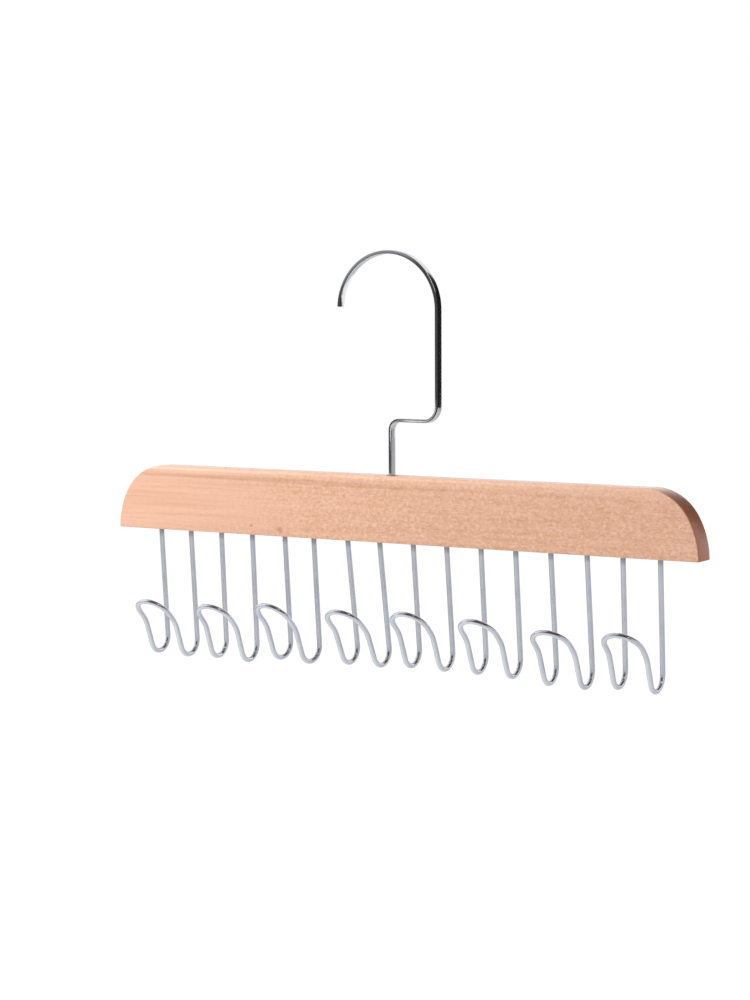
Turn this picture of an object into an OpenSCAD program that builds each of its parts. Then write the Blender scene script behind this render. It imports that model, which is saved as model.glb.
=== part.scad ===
// Tie hanger: a wooden bar with eight bent wire hooks under it,
// carried by a flat steel hook that swivels in a bush through the bar.
// The origin is the seat on the rail: the top of the inside of the arch.
// +X runs along the bar, -Y is the side that the wire hooks open to, +Z is up.

/* [Bar] */
// Length of the wooden bar
bar_len = 280; // [250:5:380]
// Height of the wooden bar
bar_h = 28; // [26:1:32]
// Thickness of the wooden bar, front to back
bar_t = 10.5; // [10:0.5:16]
// Radius of the lower, flatter arc of each rounded end
end_r = 34; // [33:1:40]
// Radius of the shoulder that runs from that arc into the top
shoulder_r = 22; // [16:1:22]
// Rounding along the two long top edges
top_round = 2; // [0.5:0.25:3]

/* [Swivel hook] */
// Inside radius of the arch, half of the thickest rail that it takes
arch_r = 22.8; // [18:0.2:30]
// Thickness of the flattened wire of the hook
strip_t = 1.6; // [1.2:0.1:1.8]
// Width of the flattened wire of the hook
strip_w = 3.4; // [3.1:0.1:3.8]
// Straight part between the arch and the bend under it
riser_len = 40; // [30:1:60]
// Height from the top of the bar to the middle of the jog
neck_h = 23; // [15:1:35]
// Centreline radius of the bend from the neck into the jog
neck_bend_r = 4; // [3:0.5:6]
// Centreline radius of the bend from the jog into the riser
jog_bend_r = 6; // [4:0.5:10]
// How far round the arch goes, in degrees
arch_sweep = 177; // [150:1:180]
// Straight end past the arch
tip_len = 0.5; // [0.5:0.5:10]
// How far the shank stands to the right of the middle of the arch
shank_x = 1.3; // [-3:0.1:3]

/* [Swivel] */
// How far the middle of the bar is to the right of the shank
bar_x = 2; // [-2:0.5:2]
// Diameter of the round shank under the flat part of the hook
shank_d = 3; // [2.8:0.1:3]
// Gap all round between the shank and the bore of the bush
swivel_gap = 0.05; // [0.02:0.01:0.1]
// Wall of the bush
bush_wall = 0.95; // [0.8:0.05:1.2]
// How far the bush sits below the top of the bar
bush_recess = 2; // [1:0.5:4]
// Room for the bar to slide up the shank before it meets the flat of the hook
lift_play = 0.2; // [0.1:0.1:0.5]
// Depth of the pocket for the nut in the underside of the bar
pocket_depth = 6; // [5:0.5:8]
// Gap all round between the washer and the pocket
pocket_gap = 0.5; // [0.3:0.1:0.7]
// Outside diameter of the washer that the bar hangs on
washer_d = 6.5; // [6:0.5:8]
// Thickness of the washer
washer_t = 0.5; // [0.4:0.1:0.8]
// Gap all round between the shank and the washer
washer_gap = 0.1; // [0.05:0.05:0.2]
// Width of the nut across its flats
nut_flats = 5.5; // [5:0.5:6]
// Height of the nut
nut_h = 2.4; // [2:0.1:2.8]
// Length of shank that stands out below the nut
shank_end = 0.6; // [0.2:0.1:1]

/* [Wire hooks] */
// Distance from the last leg to the end of the bar
end_margin = 18.9; // [17:0.1:24]
// Diameter of the wire
wire_d = 2.2; // [1.8:0.1:2.6]
// Depth of a leg's hole in the bar, along the leg
leg_depth = 18; // [12:1:20]
// Length of a leg from the underside of the bar to its bend
leg_len = 47; // [30:0.5:60]
// Backward lean of the legs
leg_lean = 7; // [0:0.5:8]
// Centreline radius of the bend at the bottom
trough_r = 6; // [4.5:0.25:8]
// Forward tilt of the wire as it rises out of the bottom bend
rise_tilt = 23; // [10:1:28]
// Straight part of the rise
rise_len = 9.3; // [5:0.1:14]
// Centreline radius of the outward flare above the rise
flare_r = 14; // [10:1:25]
// Forward tilt of the tip, past the flare
tip_tilt = 46; // [34:1:60]
// Straight part between the flare and the half circle of the tip
tip_run = 3.2; // [0.5:0.1:5]
// How much the hooks differ, as hand bent ones do: 0 makes them all alike
hand_bend = 1; // [0:0.1:1.5]

/* [Hidden] */
$fn = 64;

// Number of wire hooks, each a piece of its own
HOOKS = 8;

// Heights, counted from the seat on the rail
arch_mid_r = arch_r + strip_t / 2;
jog_z = -arch_r - riser_len - jog_bend_r;
bar_top_z = jog_z - neck_h;
bar_bottom_z = bar_top_z - bar_h;
bush_top_z = bar_top_z - bush_recess;
flat_end_z = bush_top_z + lift_play;
pocket_z = bar_bottom_z + pocket_depth;
washer_z = pocket_z - washer_t;
nut_z = washer_z - nut_h;
shank_bottom_z = nut_z - shank_end;

// The bush fills its hole in the bar, the shank turns inside it, and the pocket clears the washer
bush_bore_d = shank_d + 2 * swivel_gap;
bush_d = bush_bore_d + 2 * bush_wall;
pocket_d = washer_d + 2 * pocket_gap;

// Middle of the bar
bar_mid_x = shank_x + bar_x;

// The two arcs of a rounded end meet where both point the same way
end_mid_x = bar_len / 2 - end_r;
shoulder_mid_z = bar_h - shoulder_r;
meet_angle = asin(shoulder_mid_z / (end_r - shoulder_r));
shoulder_mid_x = end_mid_x + (end_r - shoulder_r) * cos(meet_angle);

// The legs stand evenly along the bar, two to a hook
leg_pitch = (bar_len - 2 * end_margin) / (2 * HOOKS - 1);

// How each hook differs: sideways lean, swing forwards and twist in degrees, extra length in mm
LEANS = [-1.5, -2, -1, 0.5, -0.5, -1.5, -1, -2];
SWINGS = [0.5, 0.5, 1.5, -1, 0, -1, -1.5, -1];
TWISTS = [-1, 0.5, -7, -2, -0.5, 0, 1.5, 2];
EXTRAS = [1.5, 1.5, -0.5, -1, -2, -1.5, 0.5, -0.5];

// Overshoot of a cut past the face that it opens
cut = 1;
// A bend reaches this far round into the straights beside it, and is this much thinner
bend_lap = 0.5;
bend_thinning = 0.005;
// How far the round shank runs up beside the flat of the hook
shank_lap = 0.6;

HOOK_NODES = [for (i = [1:HOOKS]) str("wire_hook_", i)];

// Bent stock: each piece lies along +Z of its own frame, and its children start at its end

// Cross-section of the stock: the flat of the swivel hook, or round wire
module section(flat, thinner = 0) {
    if (flat)
        square([strip_t - 2 * thinner, strip_w - 2 * thinner], center = true);
    else
        circle(r = wire_d / 2 - thinner);
}

// A straight length
module run(length, flat = false) {
    linear_extrude(length) section(flat);
    translate([0, 0, length]) children();
}

// A bend of the given centreline radius, towards the direction that is toward degrees from +X
module bend(radius, angle, toward = 0, flat = false) {
    rotate([0, 0, toward])
        translate([radius, 0, 0]) {
            rotate([90, 0, 180])
                rotate([0, 0, -bend_lap])
                    rotate_extrude(angle = angle + 2 * bend_lap)
                        translate([radius, 0])
                            section(flat, bend_thinning);
            rotate([0, angle, 0])
                translate([-radius, 0, 0])
                    rotate([0, 0, -toward])
                        children();
        }
}

// Wire hooks

// Frame of hook number i: midway between its legs, where they leave the bar
module at_hook(i) {
    translate([bar_mid_x + (i - (HOOKS - 1) / 2) * 2 * leg_pitch, 0, bar_bottom_z])
        rotate([0, -hand_bend * LEANS[i], 0])
            rotate([0, 0, hand_bend * TWISTS[i]])
                rotate([leg_lean - hand_bend * SWINGS[i], 0, 0])
                    children();
}

// Start of a leg at the bottom of its hole, pointing down, with +Y of its frame to the front
module at_leg(side) {
    translate([side * leg_pitch / 2, 0, leg_depth])
        rotate([180, 0, 0])
            children();
}

// One leg with its bottom bend, rise and flare
module wire_side(length) {
    run(leg_depth + length)
        bend(trough_r, 180 - rise_tilt + leg_lean, 90)
            run(rise_len)
                bend(flare_r, tip_tilt - rise_tilt, -90)
                    run(tip_run)
                        children();
}

// One wire hook: two legs, joined at the tip by a half circle
module wire_hook(i) {
    length = leg_len + hand_bend * EXTRAS[i];
    color("lightsteelblue")
        at_hook(i) {
            at_leg(-1) wire_side(length) bend(leg_pitch / 2, 180);
            at_leg(1) wire_side(length);
        }
}

// Drilled holes for the two legs of a hook
module leg_holes(i) {
    at_hook(i)
        for (side = [-1, 1])
            translate([side * leg_pitch / 2, 0, -cut])
                cylinder(d = wire_d, h = leg_depth + cut);
}

// Bar

// Sector of a disc in the XZ plane, from +X round to the given angle, as thick as the bar
module disc_sector(radius, angle) {
    rotate([90, 0, 0])
        rotate_extrude(angle = angle)
            translate([0, -bar_t / 2])
                square([radius, bar_t]);
}

// Outline of the bar with its rounded ends, underside at z = 0
module bar_blank() {
    rotate([90, 0, 0])
        linear_extrude(bar_t, center = true)
            polygon([
                [-end_mid_x - end_r / 2, 0], [end_mid_x + end_r / 2, 0],
                [shoulder_mid_x, bar_h], [-shoulder_mid_x, bar_h]
            ]);
    for (side = [0, 1])
        mirror([side, 0, 0]) {
            translate([end_mid_x, 0, 0]) disc_sector(end_r, meet_angle);
            translate([shoulder_mid_x, 0, shoulder_mid_z]) disc_sector(shoulder_r, 90);
        }
}

// Waste that is planed off the front top edge to round it
module top_edge_waste() {
    translate([-bar_len / 2 - cut, -bar_t / 2, bar_h])
        rotate([90, 0, 90])
            linear_extrude(bar_len + 2 * cut)
                difference() {
                    translate([-cut, -top_round])
                        square([top_round + cut, top_round + cut]);
                    translate([top_round, -top_round])
                        circle(r = top_round);
                }
}

module wood_bar() {
    color("burlywood")
        difference() {
            translate([bar_mid_x, 0, bar_bottom_z])
                difference() {
                    bar_blank();
                    top_edge_waste();
                    mirror([0, 1, 0]) top_edge_waste();
                    translate([-bar_x, 0, -cut]) {
                        cylinder(d = bush_d, h = bar_h + 2 * cut);
                        cylinder(d = pocket_d, h = pocket_depth + cut);
                    }
                }
            for (i = [0:HOOKS - 1]) leg_holes(i);
        }
}

// Swivel hook and what holds it

// Flat part: up the neck, along the jog, up the riser and over the arch
module hook_flat() {
    translate([shank_x, 0, flat_end_z])
        run(jog_z - neck_bend_r - flat_end_z, true)
            bend(neck_bend_r, 90, 0, true)
                run(arch_mid_r - shank_x - neck_bend_r - jog_bend_r, true)
                    bend(jog_bend_r, 90, 180, true)
                        run(riser_len, true)
                            bend(arch_mid_r, arch_sweep, 180, true)
                                run(tip_len, true);
}

module swivel_hook() {
    color("silver") {
        hook_flat();
        translate([shank_x, 0, shank_bottom_z])
            cylinder(d = shank_d, h = flat_end_z + shank_lap - shank_bottom_z);
    }
}

module swivel_bush() {
    bush_len = bush_top_z - pocket_z;
    color("goldenrod")
        translate([shank_x, 0, pocket_z])
            difference() {
                cylinder(d = bush_d, h = bush_len);
                translate([0, 0, -cut]) cylinder(d = bush_bore_d, h = bush_len + 2 * cut);
            }
}

module thrust_washer() {
    color("gainsboro")
        translate([shank_x, 0, washer_z])
            difference() {
                cylinder(d = washer_d, h = washer_t);
                translate([0, 0, -cut]) cylinder(d = shank_d + 2 * washer_gap, h = washer_t + 2 * cut);
            }
}

module lock_nut() {
    color("darkgray")
        translate([shank_x, 0, nut_z])
            difference() {
                cylinder(d = nut_flats / cos(30), h = nut_h, $fn = 6);
                translate([0, 0, -cut]) cylinder(d = shank_d, h = nut_h + 2 * cut);
            }
}

wood_bar();
swivel_hook();
swivel_bush();
thrust_washer();
lock_nut();
for (i = [0:HOOKS - 1])
    wire_hook(i);
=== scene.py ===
import bmesh
import bpy
import numpy as np
from mathutils import Matrix, Vector


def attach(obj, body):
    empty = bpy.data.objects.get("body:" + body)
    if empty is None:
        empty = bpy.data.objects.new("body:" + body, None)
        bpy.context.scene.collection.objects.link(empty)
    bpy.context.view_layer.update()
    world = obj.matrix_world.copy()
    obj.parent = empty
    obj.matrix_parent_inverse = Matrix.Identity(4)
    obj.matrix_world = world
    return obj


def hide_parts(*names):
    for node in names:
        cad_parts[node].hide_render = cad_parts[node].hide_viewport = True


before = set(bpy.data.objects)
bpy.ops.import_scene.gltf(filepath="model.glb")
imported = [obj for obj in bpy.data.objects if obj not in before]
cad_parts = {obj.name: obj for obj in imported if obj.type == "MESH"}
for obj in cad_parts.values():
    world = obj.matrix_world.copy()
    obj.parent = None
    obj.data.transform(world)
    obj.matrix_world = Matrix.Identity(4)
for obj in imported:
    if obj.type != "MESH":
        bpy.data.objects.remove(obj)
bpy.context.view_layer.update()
print("frame loaded:", len(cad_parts), "nodes")

# Camera at the photograph's viewing angle: degrees, metres, and millimetres for the lens.
cameraView = {
    "yaw": 31.6,
    "tilt": 5.312,
    "roll": -0.2427,
    "place": (0.565296, -0.930435, -0.000989),
    "lens": 94.374,
    "sensor": 36,
    "clip": (0.05, 60),
}


def makeCamera(view):
    # The look direction is yaw and tilt as sines and cosines; right and up are turned round it by the roll.
    yaw, tilt, roll = np.radians([view["yaw"], view["tilt"], view["roll"]])
    look = np.array([-np.sin(yaw) * np.cos(tilt), np.cos(yaw) * np.cos(tilt), -np.sin(tilt)])
    level = np.array([np.cos(yaw), np.sin(yaw), 0])
    upright = np.cross(level, look)
    right = np.cos(roll) * level + np.sin(roll) * upright
    up = np.cos(roll) * upright - np.sin(roll) * level
    data = bpy.data.cameras.new("camera")
    data.lens, data.sensor_width = view["lens"], view["sensor"]
    data.clip_start, data.clip_end = view["clip"]
    camera = bpy.data.objects.new("camera", data)
    bpy.context.collection.objects.link(camera)
    turned = Matrix(np.column_stack([right, up, -look]).tolist()).to_4x4()
    camera.matrix_world = Matrix.Translation(Vector(view["place"])) @ turned
    bpy.context.scene.camera = camera


makeCamera(cameraView)
print("camera placed")


# Mesh helpers

def gridQuads(rows, cols, start=0):
    # Corner numbers of every cell of a rows by cols grid of points, four to a face.
    first = (np.arange(rows - 1)[:, None] * cols + np.arange(cols - 1)[None, :]).ravel() + start
    return np.column_stack([first, first + 1, first + cols + 1, first + cols])


def weld(mesh, turnOut):
    # Points less than a thousandth of a millimetre apart become one; a closed shell's faces are turned outwards.
    work = bmesh.new()
    work.from_mesh(mesh)
    bmesh.ops.remove_doubles(work, verts=work.verts, dist=1e-6)
    if turnOut:
        bmesh.ops.recalc_face_normals(work, faces=work.faces)
    work.to_mesh(mesh)
    work.free()


def linkObject(name, mesh, material):
    # The mesh gets its material and stands in the scene at the origin.
    mesh.materials.append(material)
    made = bpy.data.objects.new(name, mesh)
    bpy.context.collection.objects.link(made)
    return made


def addPiece(name, grids, body, node, material, sharpAngle=35):
    # Each grid is (points, uv), in metres; grids that meet are welded and edges sharper than the angle marked crisp.
    points, quads, uvs, count = [], [], [], 0
    for place, uv in grids:
        rows, cols = place.shape[:2]
        quads.append(gridQuads(rows, cols, count))
        points.append(place.reshape(-1, 3))
        uvs.append(np.zeros((rows * cols, 2)) if uv is None else uv.reshape(-1, 2))
        count += rows * cols
    points, quads, uvs = np.vstack(points), np.vstack(quads), np.vstack(uvs)
    mesh = bpy.data.meshes.new(name)
    mesh.from_pydata(points.tolist(), [], quads.tolist())
    layer = mesh.uv_layers.new(name="surfaceUv")
    layer.data.foreach_set("uv", uvs[quads.ravel()].astype(np.float32).ravel())
    weld(mesh, True)
    mesh.shade_smooth()
    mesh.set_sharp_from_angle(angle=np.radians(sharpAngle))
    piece = linkObject(name, mesh, material)
    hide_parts(node)
    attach(piece, body)
    return piece


def flatPath(start, heading, steps):
    # Points and headings of a path in a plane: a run goes straight along the heading, a turn goes round a circle
    # whose middle lies one radius to the side that the heading turns to. Each step is (length or radius, angle or
    # None, rows).
    points, headings = [np.array([start], float)], [np.array([heading], float)]
    for size, angle, rows in steps:
        here, aim = points[-1][-1], headings[-1][-1]
        part = np.linspace(0, 1, rows + 1)[1:]
        if angle is None:
            points.append(here + size * part[:, None] * np.array([[np.cos(aim), np.sin(aim)]]))
            headings.append(np.full(rows, aim))
        else:
            turn, side = np.radians(angle) * part, np.sign(angle)
            middle = here + size * side * np.array([-np.sin(aim), np.cos(aim)])
            points.append(middle + size * side * np.column_stack([np.sin(aim + turn), -np.cos(aim + turn)]))
            headings.append(aim + turn)
    return np.vstack(points), np.concatenate(headings)


def lengthAlong(points):
    # Running sum of the distances between neighbouring points.
    return np.concatenate([[0], np.cumsum(np.linalg.norm(np.diff(points, axis=0), axis=1))])


def sweep(path, side, up, across, above):
    # Every section point is the path point plus its two offsets along the side and up directions of that row. The
    # UV map is the length round the section by the length along the path.
    place = path[:, None, :] + across[:, :, None] * side[:, None, :] + above[:, :, None] * up[:, None, :]
    girth = np.cumsum(np.hypot(np.diff(across, axis=1), np.diff(above, axis=1)), axis=1)
    girth = np.hstack([np.zeros((len(path), 1)), girth])
    along = np.broadcast_to(lengthAlong(path)[:, None], girth.shape)
    return place, np.dstack([girth, along])


def roundedSection(halfA, halfB, corner, perCorner):
    # A rectangle with round corners, one row for each entry: four corner middles with a quarter circle on each. With
    # all three values alike it is a circle.
    turn = np.linspace(0, np.pi / 2, perCorner)
    angle = np.concatenate([turn + quarter * np.pi / 2 for quarter in range(4)] + [[2 * np.pi]])
    signA = np.repeat([1, -1, -1, 1, 1], [perCorner] * 4 + [1])
    signB = np.repeat([1, 1, -1, -1, 1], [perCorner] * 4 + [1])
    across = (halfA - corner)[:, None] * signA + corner[:, None] * np.cos(angle)
    above = (halfB - corner)[:, None] * signB + corner[:, None] * np.sin(angle)
    return across, above, angle


def easeInOut(share):
    # Three times the square less twice the cube: 0 to 1 with a level start and end.
    return share * share * (3 - 2 * share)


# Node helpers

def addNode(tree, kind, inputs=None, **settings):
    # A new node with its settings; an input is either linked, where a socket is given, or set.
    made = tree.nodes.new(kind)
    for key, value in settings.items():
        setattr(made, key, value)
    for key, value in (inputs or {}).items():
        if isinstance(value, bpy.types.NodeSocket):
            tree.links.new(value, made.inputs[key])
        else:
            made.inputs[key].default_value = value
    return made


def startGroup(name, ins):
    # An empty node group that puts out colour, roughness and height; each input is (name, kind, value or None).
    group = bpy.data.node_groups.new(name, "ShaderNodeTree")
    for label, kind, value in ins:
        socket = group.interface.new_socket(name=label, in_out="INPUT", socket_type="NodeSocket" + kind)
        if value is not None:
            socket.default_value = value
    for label, kind in (("Color", "Color"), ("Roughness", "Float"), ("Height", "Float")):
        group.interface.new_socket(name=label, in_out="OUTPUT", socket_type="NodeSocket" + kind)
    return group, addNode(group, "NodeGroupInput").outputs


def endGroup(group, color, roughness, height):
    # The three results go to the group's outputs.
    addNode(group, "NodeGroupOutput", {"Color": color, "Roughness": roughness, "Height": height})
    return group


def mathNode(tree, operation, first, second=0.0):
    # One step of arithmetic on two values or sockets.
    return addNode(tree, "ShaderNodeMath", {0: first, 1: second}, operation=operation).outputs[0]


def times(tree, first, second):
    return mathNode(tree, "MULTIPLY", first, second)


def plus(tree, first, second):
    return mathNode(tree, "ADD", first, second)


def minus(tree, first, second):
    return mathNode(tree, "SUBTRACT", first, second)


def mixColor(tree, factor, first, second):
    # First times what the factor leaves, plus second times the factor.
    return addNode(tree, "ShaderNodeMix", {0: factor, 6: first, 7: second}, data_type="RGBA").outputs[2]


def rangeNode(tree, value, ends, low=0, high=1):
    # Low at the first end and high at the second, with a soft start and end.
    return addNode(tree, "ShaderNodeMapRange", {0: value, 1: ends[0], 2: ends[1], 3: low, 4: high},
                   interpolation_type="SMOOTHSTEP").outputs[0]


def stretched(tree, vector, scale, shift=(0, 0, 0)):
    # Every coordinate times its scale, plus its shift.
    return addNode(tree, "ShaderNodeMapping", {"Vector": vector, "Scale": scale, "Location": shift}).outputs[0]


def noiseOn(tree, vector, detail, roughness=0.5, distortion=0.0):
    # Soft noise from 0 to 1, about one wave to a unit of the stretched coordinates.
    return addNode(tree, "ShaderNodeTexNoise", {"Vector": vector, "Scale": 1.0, "Detail": detail,
                                                "Roughness": roughness, "Distortion": distortion}).outputs[0]


def newMaterial(name):
    # A material with one shader on its surface output.
    material = bpy.data.materials.new(name)
    material.use_nodes = True
    tree = material.node_tree
    tree.nodes.clear()
    shader = addNode(tree, "ShaderNodeBsdfPrincipled")
    addNode(tree, "ShaderNodeOutputMaterial", {0: shader.outputs[0]}, name="surface")
    return material, tree, shader


def showFigure(tree, shader, figure, relief, depth):
    # The group's colour and roughness go to the shader, and its height through a bump.
    bump = addNode(tree, "ShaderNodeBump", {"Height": figure.outputs["Height"], "Strength": relief, "Distance": depth})
    tree.links.new(figure.outputs["Color"], shader.inputs["Base Color"])
    tree.links.new(figure.outputs["Roughness"], shader.inputs["Roughness"])
    tree.links.new(bump.outputs[0], shader.inputs["Normal"])


# Beech

beech = {
    "pale": (0.85, 0.505, 0.352, 1),
    "bright": (0.95, 0.62, 0.46, 1),
    "deep": (0.67, 0.335, 0.2, 1),
    "warm": (0.78, 0.43, 0.25, 1),
    "fleck": (0.42, 0.19, 0.1, 1),
    "endTone": (0.6, 0.17, 0.072, 1),
    "stain": (0.46, 0.205, 0.095, 1),
    "layers": {  # noise in mm: stretch and shift along X, Y and Z, then detail, roughness and distortion
        "growth": ((0.011, 0.33, 0.42), (0, 0, 0), 3, 0.55, 0.35),
        "line": ((0.022, 1.1, 1.35), (3, 7, 1), 4, 0.6, 0.2),
        "fibre": ((0.09, 3.6, 4.2), (0, 0, 0), 3, 0.6, 0),
        "cloud": ((0.018, 0.05, 0.05), (0, 2, 9), 2, 0.5, 0),
        "pore": ((0.35, 5.5, 6.5), (5, 1, 2), 2, 0.5, 0),
        "speck": ((0.6, 0.8, 0.85), (8, 8, 3), 4, 0.66, 0.5),
        "blotch": ((0.1, 0.2, 0.22), (6, 1, 7), 2, 0.55, 0.3),
        "sway": ((0.02, 0.1, 0.02), (1, 4, 4), 2, 0.5, 0),
    },
    "tints": [  # layer, its ends, share, tone, and whether it keeps to the speckled side of the bar
        ("blotch", (0.4, 0.64), 0.5, "warm", True),
        ("growth", (0.38, 0.68), 0.3, "deep", False),
        ("line", (0.45, 0.72), 0.4, "deep", False),
        ("fibre", (0.35, 0.7), 0.12, "deep", False),
        ("speck", (0.5, 0.62), 0.25, "fleck", True),
        ("speck", (0.48, 0.36), 0.5, "bright", True),
        ("pore", (0.6, 0.7), 0.3, "fleck", False),
    ],
    "patchEnds": (5, 80),  # mm along the bar, how far the speckled side fades in
    "patchLeast": 0.08,
    "patchDrift": 130,
    "stainHeight": -96.4,  # mm, a brown growth line under the rounded top edge
    "stainFall": 0.0107,
    "stainEnds": (0.1, 1.5),
    "stainSway": 2.4,
    "stainFade": (60, 5),
    "stainBreaks": (0.3, 0.62),
    "stainLeast": 0.35,
    "stainShare": 0.36,
    "aboveEnds": (0.3, 2.4),  # mm above the growth line, where the wood is lighter
    "aboveShare": 0.25,
    "marks": [(-51.5, -116.9, 0.95), (-66.2, -115.8, 0.5)],  # small brown marks: x, z and size in mm
    "markEnds": (0.35, 1.9),  # parts of the size, from full to none
    "markFlat": 0.8,  # below 1 makes a mark longer than high
    "markShare": 0.6,
    "endLineEnds": (0.3, 0.75),
    "endLeast": 0.8,
    "poreEnds": (0.6, 0.7),
    "poreDeep": 0.8,
    "fibreHigh": 0.35,
    "relief": 0.25,
    "reliefDepth": 0.00006,
    "roughness": 0.42,
    "roughSpread": 0.22,
    "endSmoother": 0.14,
    "coat": 0.5,
    "endCoat": 0.1,  # end grain drinks the lacquer
    "coatEnds": (0.1, 0.45),  # share of end grain over which the coat thins
    "coatRoughness": 0.16,
}


def beechFigure(values):
    # Colour, roughness and height of beech in millimetres: noise drawn out along X makes the growth lines, the fibres
    # and the pores; short spindles are the ray flecks; the end grain is the same figure with its own tone.
    group, given = startGroup("beechFigure", [("Vector", "Vector", None), ("End", "Float", 0.0)])
    place = stretched(group, given["Vector"], (1000, 1000, 1000))
    split = addNode(group, "ShaderNodeSeparateXYZ", {0: place})
    alongX, downZ = split.outputs[0], split.outputs[2]
    layer = {name: noiseOn(group, stretched(group, place, scale, shift), *kind)
             for name, (scale, shift, *kind) in values["layers"].items()}
    drift = plus(group, alongX, times(group, minus(group, layer["cloud"], 0.5), values["patchDrift"]))
    patch = rangeNode(group, minus(group, drift, downZ), values["patchEnds"], values["patchLeast"])
    color = values["pale"]
    for name, ends, share, tone, patched in values["tints"]:
        mask = rangeNode(group, layer[name], ends, 0, share)
        color = mixColor(group, times(group, mask, patch) if patched else mask, color, values[tone])
    # the growth line: its height falls along the bar and sways, and it breaks up and fades out to the right
    level = plus(group, downZ, times(group, alongX, values["stainFall"]))
    level = plus(group, level, times(group, layer["sway"], values["stainSway"]))
    off = minus(group, level, values["stainHeight"] + values["stainSway"] / 2)
    band = rangeNode(group, mathNode(group, "ABSOLUTE", off), values["stainEnds"], 1, 0)
    fade = times(group, rangeNode(group, alongX, values["stainFade"]),
                 rangeNode(group, layer["line"], values["stainBreaks"], values["stainLeast"]))
    above = rangeNode(group, off, values["aboveEnds"], 0, values["aboveShare"])
    color = mixColor(group, above, color, values["bright"])
    color = mixColor(group, times(group, times(group, band, fade), values["stainShare"]), color, values["stain"])
    # the distance from a mark's middle, in which X counts less than Z
    flat, (full, none) = values["markFlat"], values["markEnds"]
    for markX, markZ, markSize in values["marks"]:
        apart = stretched(group, place, (flat, 0, 1), (-markX * flat, 0, -markZ))
        away = addNode(group, "ShaderNodeVectorMath", {0: apart}, operation="LENGTH").outputs["Value"]
        spot = rangeNode(group, away, (markSize * full, markSize * none), values["markShare"], 0)
        color = mixColor(group, spot, color, values["fleck"])
    endShare = times(group, given["End"], rangeNode(group, layer["line"], values["endLineEnds"], values["endLeast"]))
    color = mixColor(group, endShare, color, values["endTone"])
    rough = times(group, minus(group, layer["fibre"], 0.5), values["roughSpread"])
    rough = minus(group, plus(group, rough, values["roughness"]), times(group, given["End"], values["endSmoother"]))
    pores = rangeNode(group, layer["pore"], values["poreEnds"], 0, values["poreDeep"])
    height = minus(group, times(group, layer["fibre"], values["fibreHigh"]), pores)
    return endGroup(group, color, rough, height)


def beechMaterial(values):
    # The figure reads Object coordinates and the share of end grain that the mesh carries.
    material, tree, shader = newMaterial("lacqueredBeech")
    spot = addNode(tree, "ShaderNodeTexCoord").outputs["Object"]
    end = addNode(tree, "ShaderNodeAttribute", attribute_name="endGrain").outputs["Fac"]
    figure = addNode(tree, "ShaderNodeGroup", node_tree=beechFigure(values))
    tree.links.new(spot, figure.inputs["Vector"])
    tree.links.new(end, figure.inputs["End"])
    showFigure(tree, shader, figure, values["relief"], values["reliefDepth"])
    sealed = rangeNode(tree, end, values["coatEnds"], values["coat"], values["endCoat"])
    tree.links.new(sealed, shader.inputs["Coat Weight"])
    shader.inputs["Coat Roughness"].default_value = values["coatRoughness"]
    return material


# Metals

metalMarksAndContactShade = {
    "drawnScale": (9000, 260, 1),  # marks in a metre round and along the wire
    "drawnEnds": (0.3, 0.72),
    "fineScale": (26000, 900, 1),
    "fineHigh": 0.3,
    "cloudScale": (90, 90, 90),
    "cloudEnds": (0.36, 0.68),
    "pitScale": (2600, 2600, 2600),
    "pitEnds": (0.62, 0.74),
    "contactShadeEnds": (0.0042, 0.001),  # metres under the seat, from no painted contact shade to full
    "contactShadeShare": 0.6,
    "contactShadeTone": (0.2, 0.19, 0.2, 1),
    "reliefDepth": 0.00002,
}


def metalFinishAndContactShade(values):
    # Drawing marks run along the wire on the piece's own UV map, in metres: noise drawn out along V. Handling marks
    # and a slight change of tone come from noise on Object coordinates, and a painted contact shade darkens the metal
    # under the seat, the height at which the metal enters wood.
    group, given = startGroup("metalFinishAndContactShade", [
        ("Vector", "Vector", None), ("Along", "Vector", None), ("Tone", "Color", (1, 1, 1, 1)),
        ("Shade", "Color", (1, 1, 1, 1)), ("Roughness", "Float", 0.2), ("Spread", "Float", 0.1),
        ("Pitting", "Float", 0.3), ("Seat", "Float", 1.0)])
    drawn = noiseOn(group, stretched(group, given["Along"], values["drawnScale"]), 3, 0.6)
    fine = noiseOn(group, stretched(group, given["Along"], values["fineScale"]), 2, 0.6)
    cloud = noiseOn(group, stretched(group, given["Vector"], values["cloudScale"]), 3, 0.55)
    pit = noiseOn(group, stretched(group, given["Vector"], values["pitScale"]), 2, 0.5)
    worn = plus(group, rangeNode(group, drawn, values["drawnEnds"]), rangeNode(group, cloud, values["cloudEnds"]))
    color = mixColor(group, times(group, worn, 0.5), given["Tone"], given["Shade"])
    level = addNode(group, "ShaderNodeSeparateXYZ", {0: given["Vector"]}).outputs[2]
    # painted contact shade: the metal is darkened over the few millimetres under the seat, where the wire meets the
    # wood
    ring = rangeNode(group, minus(group, given["Seat"], level), values["contactShadeEnds"], 0, values["contactShadeShare"])
    color = mixColor(group, ring, color, values["contactShadeTone"])
    wander = minus(group, plus(group, drawn, cloud), 1.0)
    rough = plus(group, given["Roughness"], times(group, wander, given["Spread"]))
    pits = times(group, rangeNode(group, pit, values["pitEnds"]), given["Pitting"])
    height = minus(group, times(group, plus(group, drawn, fine), values["fineHigh"]), pits)
    return endGroup(group, color, rough, height)


metalGroup = metalFinishAndContactShade(metalMarksAndContactShade)


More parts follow.
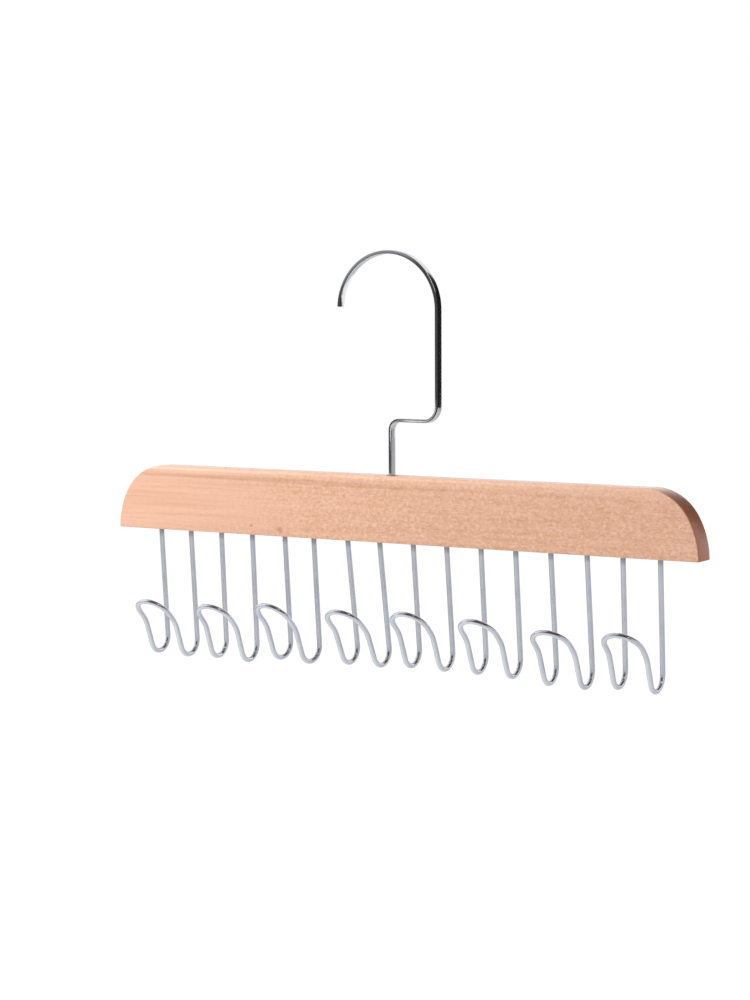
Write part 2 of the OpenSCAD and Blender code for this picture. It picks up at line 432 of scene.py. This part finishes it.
def metalMaterial(name, values):
    # The finish and its painted contact shade read Object coordinates and the piece's own UV map, both in metres.
    material, tree, shader = newMaterial(name)
    coords = addNode(tree, "ShaderNodeTexCoord")
    finishAndShade = addNode(tree, "ShaderNodeGroup", node_tree=metalGroup)
    for key in ("Tone", "Shade", "Roughness", "Spread", "Pitting", "Seat"):
        finishAndShade.inputs[key].default_value = values[key]
    tree.links.new(coords.outputs["Object"], finishAndShade.inputs["Vector"])
    tree.links.new(coords.outputs["UV"], finishAndShade.inputs["Along"])
    showFigure(tree, shader, finishAndShade, values["relief"], metalMarksAndContactShade["reliefDepth"])
    shader.inputs["Metallic"].default_value = 1
    return material


# Wire hooks

wires = {
    "pitch": 16.1467,  # mm between legs
    "middle": 3.3,  # middle of the bar
    "foot": -119.8,  # underside of the bar
    "radius": 1.1,
    "depth": 18,  # how far a leg stands in the wood
    "leg": 47,
    "lean": 7,
    "trough": 6,
    "rise": 9.3,
    "riseTilt": 23,
    "flare": 14,
    "tipTilt": 46,
    "tipRun": 3.2,
    "leans": [-1.5, -2, -1, 0.5, -0.5, -1.5, -1, -2],  # how each hook differs from the others, degrees and mm
    "swings": [0.5, 0.5, 1.5, -1, 0, -1, -1.5, -1],
    "twists": [-1, 0.5, -7, -2, -0.5, 0, 1.5, 2],
    "extras": [1.5, 1.5, -0.5, -1, -2, -1.5, 0.5, -0.5],
    "around": 24,
    "bowRows": 57,
    "cutSoft": 0.15,  # softened edge of the cut ends
}
zinc = {
    "Tone": (0.735, 0.75, 0.805, 1),
    "Shade": (0.6, 0.62, 0.685, 1),
    "Roughness": 0.2,
    "Spread": 0.16,
    "Pitting": 0.5,
    "Seat": -0.1198,  # metres; the painted contact shade lies just under this height
    "relief": 0.3,
}
hookCount = len(wires["leans"])


def turnAbout(axis, angle):
    # The matrix that turns by an angle in degrees about an axis.
    return np.array(Matrix.Rotation(np.radians(angle), 3, axis))


def hookSetting(values, hook):
    # Where a hook stands: its own turn of lean, twist and swing, and its place along the bar.
    turn = (turnAbout("Y", -values["leans"][hook]) @ turnAbout("Z", values["twists"][hook])
            @ turnAbout("X", values["lean"] - values["swings"][hook]))
    alongBar = values["middle"] + (hook - (hookCount - 1) / 2) * 2 * values["pitch"]
    return turn, np.array([alongBar, 0, values["foot"]])


def makeWireHook(values, hook, material):
    # One leg is a path in the YZ plane: down, round the trough and up to the tip. The other is its mirror, and half a
    # circle joins them. The round section is carried along with the side direction square to the path.
    half, radius, soft = values["pitch"] / 2, values["radius"], values["cutSoft"]
    track, heading = flatPath((0, values["depth"]), -np.pi / 2, [
        (values["depth"], None, 8),
        (values["leg"] + values["extras"][hook], None, 40),
        (values["trough"], values["riseTilt"] - 180 - values["lean"], 44),
        (values["rise"], None, 8),
        (values["flare"], values["tipTilt"] - values["riseTilt"], 12),
        (values["tipRun"], None, 3),
    ])
    count = len(track)
    ahead = np.column_stack([np.zeros(count), np.cos(heading), np.sin(heading)])
    left = np.column_stack([np.full(count, -half), track])
    tip, aim = left[-1], ahead[-1]
    bow = np.linspace(0, np.pi, values["bowRows"])[1:-1, None]
    bowMiddle = np.array([0, tip[1], tip[2]])
    over = bowMiddle - half * np.cos(bow) * np.array([1, 0, 0]) + half * np.sin(bow) * aim
    overAhead = np.cos(bow) * aim + np.sin(bow) * np.array([1, 0, 0])
    path = np.vstack([left, over, (left * [-1, 1, 1])[::-1]])
    ahead = np.vstack([ahead, overAhead, -ahead[::-1]])
    square = np.cross(aim, [1, 0, 0])  # square to the plane of the half circle
    sideways = np.vstack([np.tile([1.0, 0, 0], (count, 1)), np.cross(square, overAhead),
                          np.tile([-1.0, 0, 0], (count, 1))])
    upwards = np.cross(ahead, sideways)
    # two close rows at each end soften the cut, and a row of no width closes it
    path = np.vstack([path[:1], path[:1], path[:1] + ahead[:1] * soft, path[1:-1],
                      path[-1:] - ahead[-1:] * soft, path[-1:], path[-1:]])
    sideways = np.vstack([np.repeat(sideways[:1], 2, 0), sideways, np.repeat(sideways[-1:], 2, 0)])
    upwards = np.vstack([np.repeat(upwards[:1], 2, 0), upwards, np.repeat(upwards[-1:], 2, 0)])
    girth = np.full(len(path), radius)
    girth[[0, -1]], girth[[1, -2]] = 0, radius - soft
    angle = np.linspace(0, 2 * np.pi, values["around"] + 1)
    turn, place = hookSetting(values, hook)
    grid, uv = sweep(path @ turn.T + place, sideways @ turn.T, upwards @ turn.T,
                     girth[:, None] * np.cos(angle), girth[:, None] * np.sin(angle))
    addPiece(f"wireHook{hook + 1}", [(grid / 1000, uv / 1000)], "bar", f"wire_hook_{hook + 1}", material)


wireMaterial = metalMaterial("zincPlatedWire", zinc)
for hookNumber in range(hookCount):
    makeWireHook(wires, hookNumber, wireMaterial)
print("wire hooks bent")


# Wooden bar

bar = {
    "length": 280,
    "thick": 10.5,
    "middle": 3.3,
    "top": -91.8,
    "bottom": -119.8,
    "endRadius": 34,
    "shoulderRadius": 22,
    "meetAngle": 30,
    "topRound": 2,
    "soften": 0.45,  # how far the crisp edges are sanded
    "bush": 2.5,
    "shank": 1.3,  # where the swivel axis is
    "pocket": 3.75,
    "pocketTop": -113.8,
    "holeGap": 0.03,
    "holeChamfer": 0.2,
    "holeDeep": 18.2,
    "pocketCell": (-6.35, 5.9),  # ends of the underside's cell round the nut pocket, from the bar's middle
    "bushCell": 3.6,  # half the length of the top's cell round the bush
    "endRows": 23,
    "shoulderRows": 39,
    "edgeRows": 6,  # round a sanded edge
    "ringRows": 16,  # round half a hole
    "restRows": 5,  # from the last leg to the corner
    "faceDrops": [1, 0.75, 0.5, 0.25, 0.12, 0.09, 0.074, 0.059, 0.045, 0.031, 0.018, 0.007, 0],  # down the two faces
}


def barChains(values, inset, lowX, topX):
    # The outline in X and Z, drawn in by inset. The lower chain is straight. The upper chain goes up the end circle,
    # round the shoulder circle, along the top and down the other side, with as many points as the lower one.
    endX = values["length"] / 2 - values["endRadius"]
    far, near = values["endRadius"] - inset, values["shoulderRadius"] - inset
    meet = np.radians(values["meetAngle"])
    gap = values["endRadius"] - values["shoulderRadius"]
    shoulderX, shoulderZ = endX + gap * np.cos(meet), values["bottom"] + gap * np.sin(meet)
    start = np.arcsin(values["soften"] / (values["endRadius"] - values["soften"]))
    endTurn = np.linspace(start, meet, values["endRows"])
    shoulderTurn = np.linspace(meet, np.pi / 2, values["shoulderRows"])[1:]
    rightX = np.concatenate([endX + far * np.cos(endTurn), shoulderX + near * np.cos(shoulderTurn)])
    rightZ = np.concatenate([values["bottom"] + far * np.sin(endTurn), shoulderZ + near * np.sin(shoulderTurn)])
    turn = np.concatenate([endTurn, shoulderTurn])
    outX, outZ = np.cos(turn), np.sin(turn)
    need = (len(lowX) - len(topX)) // 2 - len(rightX)
    leftFlat = np.linspace(-shoulderX, topX[0], need + 2)[1:-1]
    rightFlat = np.linspace(topX[-1], shoulderX, need + 2)[1:-1]
    level = np.full(need * 2 + len(topX), values["top"] - inset)
    upper = np.column_stack([np.concatenate([-rightX, leftFlat, topX, rightFlat, rightX[::-1]]),
                             np.concatenate([rightZ, level, rightZ[::-1]])])
    upperOut = np.column_stack([np.concatenate([-outX, np.zeros(len(level)), outX[::-1]]),
                                np.concatenate([outZ, np.ones(len(level)), outZ[::-1]])])
    lower = np.column_stack([lowX, np.full(len(lowX), values["bottom"] + inset)])
    return lower, upper, upperOut


def halfThickness(values, height):
    # Half the bar's thickness at a height: full up to the rounding, then it follows the quarter circle of the top
    # edges.
    above = np.clip(height - (values["top"] - values["topRound"]), 0, values["topRound"])
    return values["thick"] / 2 - values["topRound"] + np.sqrt(np.maximum(values["topRound"] ** 2 - above ** 2, 0))


def cellX(leftX, middleX, rightX, ring):
    # Edge points of a cell that stand over the ring's points: spread left and right as the cosines of the ring's
    # angles.
    reach = np.cos(ring) / np.cos(ring[-1])
    return middleX + np.where(reach < 0, middleX - leftX, rightX - middleX) * reach


def cellGrid(xs, level, halfWide, ringPoints):
    # A flat cell, from its front and back edges to the first ring of the hole in it.
    front = np.column_stack([xs, np.full(len(xs), -halfWide), np.full(len(xs), level)])
    edge = np.vstack([front, front[::-1] * [1, -1, 1], front[:1]])
    return np.stack([edge, ringPoints])


def legHole(values, leg, xs, ring):
    # The rings are where the leg's own cylinder meets the underside and the end of the chamfer. From there the wall
    # goes up along the leg to a flat end.
    turn, place = hookSetting(wires, leg // 2)
    middle = turn @ np.array([(leg % 2 - 0.5) * wires["pitch"], 0, 0]) + place - [values["middle"], 0, 0]
    axis, acrossA, acrossB = turn @ [0, 0, 1], turn @ [1, 0, 0], turn @ [0, 1, 0]
    snug, chamfer = wires["radius"] + values["holeGap"], values["holeChamfer"]
    ringOff = np.cos(ring)[:, None] * acrossA + np.sin(ring)[:, None] * acrossB
    rings = middle + np.array([snug + chamfer, snug])[:, None, None] * ringOff
    levels = values["bottom"] + np.array([0, chamfer])[:, None]
    rings = rings + ((levels - rings[:, :, 2]) / axis[2])[:, :, None] * axis
    deep = middle + snug * ringOff + axis * values["holeDeep"]
    end = np.tile(middle + axis * values["holeDeep"], (len(ring), 1))
    cell = cellGrid(xs, values["bottom"], values["thick"] / 2 - values["soften"], rings[0])
    return [cell, np.stack([rings[0], rings[1], deep, end])]


def swivelHole(values, lowCellX, topCellX, ring):
    # One wall turned round the swivel axis: the nut's pocket, the step and the bush's hole, between the cell of the
    # underside and the cell of the top.
    bottom, top, step, chamfer = values["bottom"], values["top"], values["pocketTop"], values["holeChamfer"]
    pocket, bush = values["pocket"], values["bush"]
    radii = np.array([pocket + chamfer, pocket, pocket, bush, bush, bush + chamfer])[:, None]
    heights = np.array([bottom, bottom + chamfer, step, step, top - chamfer, top])[:, None]
    axisX = values["shank"] - values["middle"]
    wall = np.dstack([axisX + radii * np.cos(ring), radii * np.sin(ring), np.repeat(heights, len(ring), 1)])
    underside = cellGrid(lowCellX, bottom, values["thick"] / 2 - values["soften"], wall[0])
    return [underside, wall, cellGrid(topCellX, top, halfThickness(values, top), wall[-1])]


def makeBar(values, material):
    # The shell is put together from grids: the two faces, the two sanded edges, the band between them, and a flat cell
    # with its hole for each leg and for the swivel.
    pitch, soften, edgeRows = wires["pitch"], values["soften"], values["edgeRows"]
    frontRing = -np.pi + (np.arange(values["ringRows"]) + 0.5) * np.pi / values["ringRows"]  # left to right
    ring = np.concatenate([frontRing, frontRing + np.pi, frontRing[:1] + 2 * np.pi])
    # cells of the underside, counted from the bar's middle: one for each leg and one for the nut's pocket
    shankX = values["shank"] - values["middle"]
    legX = (np.arange(2 * hookCount) - hookCount + 0.5) * pitch
    cuts = np.concatenate([(np.arange(hookCount) - hookCount) * pitch, values["pocketCell"],
                           (np.arange(hookCount) + 1) * pitch])
    middles = np.insert(legX, hookCount, shankX)
    cells = [cellX(cuts[k], middles[k], cuts[k + 1], frontRing) for k in range(len(middles))]
    cornerX = values["length"] / 2 - values["endRadius"] + np.sqrt((values["endRadius"] - soften) ** 2 - soften ** 2)
    lowX = np.concatenate([np.linspace(-cornerX, cuts[0], values["restRows"])[:-1], cells[0],
                           *[cell[1:] for cell in cells[1:]], np.linspace(cuts[-1], cornerX, values["restRows"])[1:]])
    topX = cellX(shankX - values["bushCell"], shankX, shankX + values["bushCell"], frontRing)
    if (len(lowX) - len(topX)) % 2:
        lowX = np.insert(lowX, 1, lowX[:2].mean())
    lower, upper, upperOut = barChains(values, soften, lowX, topX)
    # the two faces: straight lines from the lower to the upper chain, closer together at the top, set at the half
    # thickness
    face = upper + (lower - upper) * np.array(values["faceDrops"])[:, None, None]
    depth = halfThickness(values, face[:, :, 1])
    grids = [np.dstack([face[:, :, 0], way * depth, face[:, :, 1]]) for way in (-1, 1)]
    # the rim: a quarter circle of the sanded edge on each side, which thins out where the top edges are rounded
    roll = np.linspace(0, np.pi / 2, edgeRows)
    corner = np.linspace(-np.pi / 2, 0, edgeRows)
    rightCorner = np.column_stack([np.cos(corner), np.sin(corner)])[1:]
    leftCorner = np.column_stack([-np.cos(corner), np.sin(corner)])[::-1][:-1]
    loop = np.vstack([lower, np.repeat(lower[-1:], edgeRows - 1, 0), upper[::-1][1:],
                      np.repeat(lower[:1], edgeRows - 1, 0)])
    out = np.vstack([np.tile([0, -1], (len(lower), 1)), rightCorner, upperOut[::-1][1:], leftCorner])
    loop, out = np.vstack([loop, loop[:1]]), np.vstack([out, out[:1]])
    outline = loop + out * soften
    weight = easeInOut(np.clip((values["top"] - outline[:, 1]) / values["topRound"], 0, 1))
    edgeX = loop[:, None, 0] + soften * np.sin(roll) * out[:, None, 0]
    edgeZ = loop[:, None, 1] + soften * np.sin(roll) * out[:, None, 1]
    edgeY = halfThickness(values, edgeZ) - soften * (1 - np.cos(roll)) * weight[:, None]
    front, back = np.dstack([edgeX, -edgeY, edgeZ]), np.dstack([edgeX, edgeY, edgeZ])
    grids += [front, back]
    # the band between the two edges, all round but for the cells
    band = np.stack([front[:, -1], back[:, -1]])
    cellsStart, cellsEnd = np.abs(lowX - cuts[0]).argmin(), np.abs(lowX - cuts[-1]).argmin()
    topCell = np.where((np.abs(loop[:, 0] - shankX) <= values["bushCell"] + 1e-6) & (out[:, 1] > 0.99))[0]
    for first, last in ((0, cellsStart), (cellsEnd, topCell[0]), (topCell[-1], len(loop) - 1)):
        grids.append(band[:, first:last + 1])
    for leg, xs in enumerate(cells[:hookCount] + cells[hookCount + 1:]):
        grids += legHole(values, leg, xs, ring)
    grids += swivelHole(values, cells[hookCount], topX, ring)
    placed = [((grid + [values["middle"], 0, 0]) / 1000, None) for grid in grids]
    piece = addPiece("woodBar", placed, "bar", "wood_bar", material, sharpAngle=28)
    # share of end grain: how much the surface faces along X
    mesh = piece.data
    facing = np.zeros(len(mesh.vertices) * 3, np.float32)
    mesh.vertices.foreach_get("normal", facing)
    share = np.abs(facing.reshape(-1, 3)[:, 0])
    mesh.attributes.new("endGrain", "FLOAT", "POINT").data.foreach_set("value", share)


makeBar(bar, beechMaterial(beech))
print("wooden bar cut")


# Swivel hook

swivel = {
    "shank": 1.3,
    "shankEnd": -117.3,
    "shankChamfer": 0.3,
    "shankRadius": 1.5,
    "threadTop": -113.0,
    "threadPitch": 0.5,
    "threadDeep": 0.16,
    "threadStep": 0.0625,  # mm from row to row
    "flatEnd": -93.6,  # where the round shank becomes a strip
    "flattenLead": 0.4,
    "flattenRun": 1.6,
    "halfThick": 0.8,
    "halfWide": 1.7,
    "corner": 0.28,
    "leastCorner": 0.1,
    "cornerRows": 9,
    "neckTop": -72.8,
    "neckTurn": 4,
    "jogTurn": 6,
    "jogRun": 12.3,
    "riser": 40,
    "arch": 23.6,
    "sweep": 177,
    "tip": 0.5,
    "tipSoft": 0.15,
}
chrome = {
    "Tone": (0.74, 0.745, 0.76, 1),
    "Shade": (0.62, 0.625, 0.65, 1),
    "Roughness": 0.1,
    "Spread": 0.08,
    "Pitting": 0.15,
    "Seat": 1,  # above the object, so without painted contact shade
    "relief": 0.12,
}


def makeSwivelHook(values, material):
    # The path lies in the XZ plane. The section is a circle on the shank, with a thread cut as a wave that climbs one
    # pitch a turn, and above the bush it flattens over a short length into a strip with rounded corners.
    low, flatten, tipSoft = values["shankEnd"], values["flatEnd"], values["tipSoft"]
    chamfer, lead, run = values["shankChamfer"], values["flattenLead"], values["flattenRun"]
    threadRun = values["threadTop"] - low - chamfer
    track, heading = flatPath((values["shank"], low), np.pi / 2, [
        (chamfer, None, 2),
        (threadRun, None, int(round(threadRun / values["threadStep"]))),
        (flatten - lead - values["threadTop"], None, 6),
        (run, None, 8),
        (values["neckTop"] - flatten - (run - lead), None, 10),
        (values["neckTurn"], -90, 20),
        (values["jogRun"], None, 6),
        (values["jogTurn"], 90, 24),
        (values["riser"], None, 12),
        (values["arch"], values["sweep"], 72),
        (values["tip"] - tipSoft, None, 3),
        (tipSoft, None, 1),
    ])
    track = np.vstack([track[:1], track, track[-1:]])
    heading = np.concatenate([heading[:1], heading, heading[-1:]])
    along = lengthAlong(track)
    path = np.column_stack([track[:, 0], np.zeros(len(track)), track[:, 1]])
    thickWay = np.column_stack([-np.sin(heading), np.zeros(len(track)), np.cos(heading)])
    wideWay = np.tile([0.0, 1, 0], (len(track), 1))
    flat = easeInOut(np.clip((along - (flatten - lead - low)) / run, 0, 1))
    halfA = values["shankRadius"] + (values["halfThick"] - values["shankRadius"]) * flat
    halfB = values["shankRadius"] + (values["halfWide"] - values["shankRadius"]) * flat
    corner = values["shankRadius"] + (values["corner"] - values["shankRadius"]) * flat
    # the first and last rows have no width and close the ends, the next ones are drawn in
    trim = np.zeros(len(track))
    trim[1], trim[-2] = chamfer, tipSoft
    halfA, halfB, corner = halfA - trim, halfB - trim, np.maximum(corner - trim, values["leastCorner"])
    halfA[[0, -1]], halfB[[0, -1]], corner[[0, -1]] = 0, 0, 0
    across, above, angle = roundedSection(halfA, halfB, corner, values["cornerRows"])
    cut = np.clip(1 - (along - threadRun) / chamfer, 0, 1) * np.clip(along / chamfer, 0, 1)
    wave = 0.5 + 0.5 * np.cos(2 * np.pi * along[:, None] / values["threadPitch"] - angle)
    shrink = 1 - cut[:, None] * wave * values["threadDeep"] / values["shankRadius"]
    grid, uv = sweep(path, thickWay, wideWay, across * shrink, above * shrink)
    addPiece("swivelHook", [(grid / 1000, uv / 1000)], "hook", "swivel_hook", material, sharpAngle=50)


makeSwivelHook(swivel, metalMaterial("chromePlatedStrip", chrome))
print("swivel hook bent")


# Bush, washer and nut

fittings = {
    "bush": {"inner": 1.55, "outer": 2.5, "low": -113.8, "high": -93.8, "edge": 0.15, "around": 64},
    "washer": {"inner": 1.6, "outer": 3.25, "low": -114.3, "high": -113.81, "edge": 0.1, "around": 64},
    "nut": {"inner": 1.5, "flats": 5.5, "low": -116.7, "high": -114.3, "edge": 0.25, "crown": 0.96, "slope": 30,
            "around": 96},
}
brass = {
    "Tone": (0.83, 0.62, 0.29, 1),
    "Shade": (0.66, 0.46, 0.2, 1),
    "Roughness": 0.28,
    "Spread": 0.14,
    "Pitting": 0.3,
    "Seat": 1,
    "relief": 0.3,
}
brightSteel = {
    "Tone": (0.66, 0.66, 0.67, 1),
    "Shade": (0.5, 0.5, 0.52, 1),
    "Roughness": 0.3,
    "Spread": 0.14,
    "Pitting": 0.4,
    "Seat": 1,
    "relief": 0.4,
}


def turnedGrid(radii, heights, angle):
    # Every profile point goes round the swivel axis; radius and height may change with the angle. The UV map is the
    # turned length by the height, with a share of the radius so that flat faces have a length of their own.
    grid = np.dstack([swivel["shank"] + radii * np.cos(angle), radii * np.sin(angle), heights])
    radiusShare = 0.7
    uv = np.dstack([heights + radii * radiusShare, np.broadcast_to(angle * radii.max(), radii.shape)])
    return grid / 1000, uv / 1000


def makeRing(name, values, node, material, body):
    # A turned ring: its profile is a rectangle with each corner cut off at 45 degrees.
    low, high, inner, outer, edge = values["low"], values["high"], values["inner"], values["outer"], values["edge"]
    angle = np.linspace(0, 2 * np.pi, values["around"] + 1)
    radii = np.array([inner, inner + edge, outer - edge, outer, outer, outer - edge, inner + edge, inner, inner])
    heights = np.array([low + edge, low, low, low + edge, high - edge, high, high, high - edge, low + edge])
    radii, heights = np.repeat(radii[:, None], len(angle), 1), np.repeat(heights[:, None], len(angle), 1)
    addPiece(name, [turnedGrid(radii, heights, angle)], body, node, material)


def makeNut(values, material):
    # The outer radius of the hexagon is half the flats over the cosine of the angle from the middle of a flat; a cone
    # cuts the corners off at both faces.
    low, high, edge, flat = values["low"], values["high"], values["edge"], values["flats"] / 2
    angle = np.linspace(0, 2 * np.pi, values["around"] + 1)
    outer = flat / np.cos(np.mod(angle, np.pi / 3) - np.pi / 6)
    inner, crown = np.full(len(angle), values["inner"]), np.full(len(angle), flat * values["crown"])
    fall = (outer - crown) * np.tan(np.radians(values["slope"]))
    level = np.zeros(len(angle))
    radii = np.stack([inner, inner + edge, crown, outer, outer, crown, inner + edge, inner, inner])
    heights = np.stack([level + low + edge, level + low, level + low, low + fall, high - fall, level + high,
                        level + high, level + high - edge, level + low + edge])
    addPiece("lockNut", [turnedGrid(radii, heights, angle)], "hook", "lock_nut", material,
             sharpAngle=25)


steelMaterial = metalMaterial("brightSteel", brightSteel)
makeRing("swivelBush", fittings["bush"], "swivel_bush", metalMaterial("turnedBrass", brass), "bar")
makeRing("thrustWasher", fittings["washer"], "thrust_washer", steelMaterial, "hook")
makeNut(fittings["nut"], steelMaterial)
print("bush, washer and nut turned")


# Floor, surroundings and light

studio = {
    "floorHeight": -0.6,
    "floorRadius": 9,
    "floorRings": 5,
    "floorSpokes": 65,
    "floorTone": (0.9, 0.9, 0.9, 1),
    "floorGrain": (0.95, 0.95, 0.95, 1),
    "floorBounce": (0.56, 0.56, 0.56, 1),
    "floorRoughness": 0.9,
    "floorGlow": 0.8,
    "left": 1.15,  # how bright each side of the room is
    "right": 0.74,
    "front": 0.7,
    "behind": 0.95,
    "ceiling": 0.1,
    "cameraSide": 0.06,
    "leftEnds": (-0.75, -0.2),  # where one side passes into the next, as parts of the direction looked in
    "frontEnds": (-0.45, -0.8),
    "behindEnds": (0.5, 0.75),
    "ceilingEnds": (0.5, 0.66),
    "ceilingLeft": (-0.38, -0.12),
    "cameraWay": (0.19, -0.98, 0),
    "cameraEnds": (0.76, 0.9),
    "cameraLow": (0.02, 0.14),
    "roomTint": (0.97, 0.98, 1, 1),
    "diffuseShare": 0.38,  # how much of the room lights the matt surfaces
    "aim": (0, 0, -0.12),
    "keyPlace": (-0.7, -0.5, 0.45),
    "keySize": 0.8,
    "keyPower": 13.6,
    "fillPlace": (0.75, -0.62, 0.78),
    "fillSize": 0.4,
    "fillPower": 1.2,
}
# Dark and light cards round the object that only reflections see: corners in metres, and how light each is.
cards = {
    "frontCard": ([(-0.185, -0.16, -0.1085), (0.32, -0.16, -0.1085), (0.32, -0.16, 0.032), (-0.058, -0.16, 0.032),
                   (-0.0835, -0.16, -0.0043), (-0.0987, -0.16, -0.0097), (-0.1116, -0.16, -0.014),
                   (-0.185, -0.16, -0.014)], 0.07),
    "archTopCard": ([(-0.185, -0.165, -0.032), (-0.045, -0.165, -0.032), (-0.045, -0.165, 0.032),
                     (-0.185, -0.165, 0.032)], 0.35),
    "jogCard": ([(-0.086, -0.159, -0.0906), (-0.074, -0.159, -0.0906), (-0.074, -0.159, -0.0734),
                 (-0.086, -0.159, -0.0734)], 1.5),
    "rightCard": ([(0.16, -0.16, -0.088), (0.16, 0.17, -0.088), (0.16, 0.17, 0.05), (0.16, -0.16, 0.05)], 0.01),
    "riserCard": ([(0.12, 0.2, -0.089), (0.225, 0.2, -0.089), (0.225, 0.2, 0.16), (0.05, 0.2, 0.115)], 0.01),
    "stemCard": ([(0.1, 0.2, -0.13), (0.16, 0.2, -0.13), (0.16, 0.2, -0.0905), (0.1, 0.2, -0.0905)], 0.5),
    "archInsideCard": ([(0, 0.21, -0.13), (0.125, 0.21, -0.13), (0.125, 0.21, -0.03), (0, 0.21, -0.03)], 1.2),
    "archOutsideCard": ([(-0.06, 0.21, 0.03), (0.13, 0.21, 0.03), (0.13, 0.21, 0.2), (-0.06, 0.21, 0.2)], 1.05),
}


def makeFloor(values):
    # A round pale floor, rings by angles. It throws back less light than it shows, so that the plated wire keeps its
    # soft grey. From below it is clear, so that the underside can be looked at.
    rings, spokes = values["floorRings"], values["floorSpokes"]
    radii = np.linspace(0, 1, rings)[:, None] ** 2 * values["floorRadius"]
    angle = np.linspace(0, 2 * np.pi, spokes)
    grid = np.dstack([radii * np.cos(angle), radii * np.sin(angle), np.full((rings, spokes), values["floorHeight"])])
    mesh = bpy.data.meshes.new("floor")
    mesh.from_pydata(grid.reshape(-1, 3).tolist(), [], gridQuads(rings, spokes)[:, ::-1].tolist())
    weld(mesh, False)
    material, tree, shader = newMaterial("paleFloor")
    grain = noiseOn(tree, stretched(tree, addNode(tree, "ShaderNodeTexCoord").outputs["Object"], (3, 3, 3)), 3)
    seen = addNode(tree, "ShaderNodeLightPath").outputs["Is Camera Ray"]
    tone = mixColor(tree, grain, values["floorTone"], values["floorGrain"])
    tree.links.new(mixColor(tree, seen, values["floorBounce"], tone), shader.inputs["Base Color"])
    tree.links.new(mixColor(tree, seen, values["floorBounce"], (1, 1, 1, 1)), shader.inputs["Emission Color"])
    shader.inputs["Roughness"].default_value = values["floorRoughness"]
    shader.inputs["Emission Strength"].default_value = values["floorGlow"]
    below = addNode(tree, "ShaderNodeNewGeometry").outputs["Backfacing"]
    clear = addNode(tree, "ShaderNodeBsdfTransparent")
    mixed = addNode(tree, "ShaderNodeMixShader", {0: below, 1: shader.outputs[0], 2: clear.outputs[0]})
    tree.links.new(mixed.outputs[0], tree.nodes["surface"].inputs[0])
    floor = linkObject("floor", mesh, material)


def makeSurroundings(values):
    # The camera sees plain white. Light and reflections come from a room that is bright to the left and behind, dimmer
    # to the right and in front, and dark overhead and behind the camera.
    world = bpy.data.worlds.new("studio")
    bpy.context.scene.world = world
    world.use_nodes = True
    tree = world.node_tree
    tree.nodes.clear()
    toward = addNode(tree, "ShaderNodeTexCoord").outputs["Generated"]
    split = addNode(tree, "ShaderNodeSeparateXYZ", {0: toward})
    across, depth, height = split.outputs[0], split.outputs[1], split.outputs[2]

    def blend(mask, first, second):
        # First times what the mask leaves, plus second times the mask.
        return plus(tree, times(tree, first, minus(tree, 1.0, mask)), times(tree, second, mask))

    room = rangeNode(tree, across, values["leftEnds"], values["left"], values["right"])
    room = blend(rangeNode(tree, depth, values["frontEnds"]), room, values["front"])
    room = blend(rangeNode(tree, depth, values["behindEnds"]), room, values["behind"])
    overhead = rangeNode(tree, height, values["ceilingEnds"])
    overhead = times(tree, overhead, rangeNode(tree, across, values["ceilingLeft"]))
    room = blend(overhead, room, values["ceiling"])
    cameraWay = addNode(tree, "ShaderNodeVectorMath", {0: toward, 1: values["cameraWay"]}, operation="DOT_PRODUCT")
    cameraShade = rangeNode(tree, cameraWay.outputs["Value"], values["cameraEnds"])
    cameraShade = times(tree, cameraShade, rangeNode(tree, height, values["cameraLow"]))
    room = blend(cameraShade, room, values["cameraSide"])
    passes = addNode(tree, "ShaderNodeLightPath").outputs
    share = rangeNode(tree, passes["Is Diffuse Ray"], (0, 1), 1, values["diffuseShare"])
    light = addNode(tree, "ShaderNodeBackground", {"Color": values["roomTint"], "Strength": times(tree, room, share)})
    white = addNode(tree, "ShaderNodeBackground", {"Color": (1, 1, 1, 1), "Strength": 1.0})
    mixed = addNode(tree, "ShaderNodeMixShader", {0: passes["Is Camera Ray"], 1: light.outputs[0], 2: white.outputs[0]})
    addNode(tree, "ShaderNodeOutputWorld", {0: mixed.outputs[0]})


def makeCard(name, corners, tone):
    # A flat card from its corners, seen only by reflections.
    mesh = bpy.data.meshes.new(name)
    mesh.from_pydata(corners, [], [tuple(range(len(corners)))])
    material, tree, shader = newMaterial(name)
    tree.nodes.remove(shader)
    glow = addNode(tree, "ShaderNodeEmission", {"Color": (tone, tone, tone, 1), "Strength": 1.0})
    tree.links.new(glow.outputs[0], tree.nodes["surface"].inputs[0])
    card = linkObject(name, mesh, material)
    card.visible_camera = card.visible_diffuse = card.visible_shadow = card.visible_transmission = False


def softBox(name, place, size, power, aim, reflected):
    # A round lamp turned to its aim.
    data = bpy.data.lights.new(name, "AREA")
    data.shape = "DISK"
    data.size, data.energy = size, power
    lamp = bpy.data.objects.new(name, data)
    lamp.location = place
    lamp.rotation_euler = (Vector(aim) - Vector(place)).to_track_quat("-Z", "Y").to_euler()
    bpy.context.collection.objects.link(lamp)
    lamp.visible_glossy = reflected


makeFloor(studio)
makeSurroundings(studio)
for cardName, (corners, tone) in cards.items():
    makeCard(cardName, corners, tone)
softBox("keyLight", studio["keyPlace"], studio["keySize"], studio["keyPower"], studio["aim"], False)
softBox("fillLight", studio["fillPlace"], studio["fillSize"], studio["fillPower"], studio["aim"], True)
bpy.context.scene.view_settings.view_transform = "Standard"
print("studio lit")
